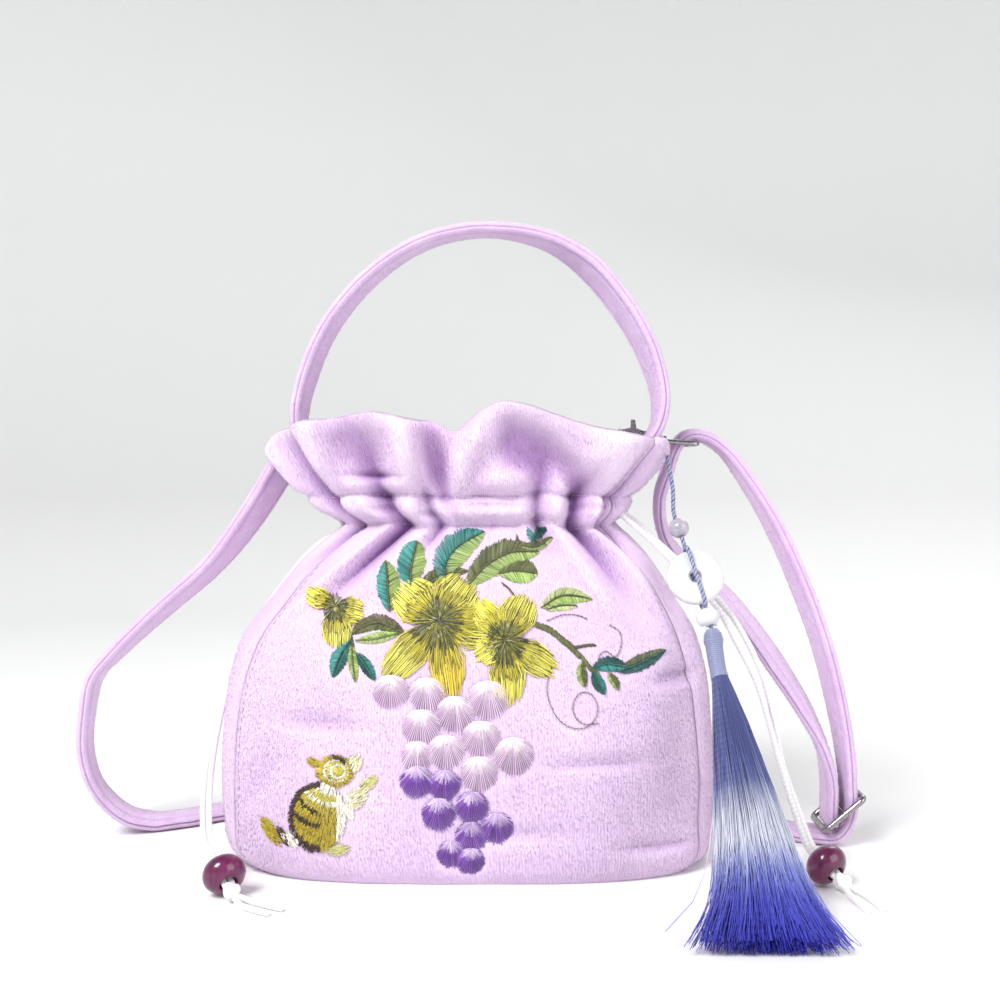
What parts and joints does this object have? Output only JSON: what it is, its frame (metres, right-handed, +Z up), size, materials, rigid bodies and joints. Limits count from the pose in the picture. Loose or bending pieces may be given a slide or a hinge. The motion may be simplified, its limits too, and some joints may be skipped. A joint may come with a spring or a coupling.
{
  "type": "drawstring handbag",
  "caption": "Plush drawstring pouch with a gathered frilled mouth, arched carrying handle, clip-on shoulder strap, beaded drawstrings and a hanging tassel pendant.",
  "frame": {"origin": "on the floor under the middle of the pouch's base", "axes": "+Z up, front of the pouch towards -Y, clasp and pendant on the +X side"},
  "size_m": [0.3371, 0.2022, 0.2621],
  "materials": {
    "plush": "short pile, soft sheen",
    "gunmetal": "polished grey metal",
    "white_cord": "satin cord",
    "purple_bead": "glossy lacquer",
    "blue_cord": "twisted silk cord",
    "jade": "polished, translucent",
    "silk": "dyed silk strands"
  },
  "bodies": {
    "purse": {"front_panel": "plush", "back_panel": "plush", "left_gusset": "plush", "right_gusset": "plush", "base_panel": "plush", "top_handle": "plush", "shoulder_strap": "plush", "anchor_loop": "plush", "strap_slider": "gunmetal", "clasp_hook": "gunmetal", "clasp_eye": "gunmetal", "left_cord_front": "white_cord", "left_cord_back": "white_cord", "right_cord_front": "white_cord", "right_cord_back": "white_cord", "left_knot": "white_cord", "right_knot": "white_cord", "left_tail_front": "white_cord", "left_tail_back": "white_cord", "right_tail_front": "white_cord", "right_tail_back": "white_cord", "left_bead": "purple_bead", "right_bead": "purple_bead", "pendant_cord": "blue_cord", "pendant_bead": "jade", "pendant_neck_bead": "jade", "pendant_disc": "jade", "tassel": "silk"},
    "gate": {"clasp_gate": "gunmetal"}
  },
  "joints": [
    {"name": "gate_hinge", "type": "hinge", "parent": "purse", "child": "gate", "pos_m": [0.0744, 0.019, 0.1756], "axis": [0, -1, 0], "range_deg": [0, 22], "stiffness_Nm_per_rad": 0.02, "springref_deg": -17.19}
  ]
}
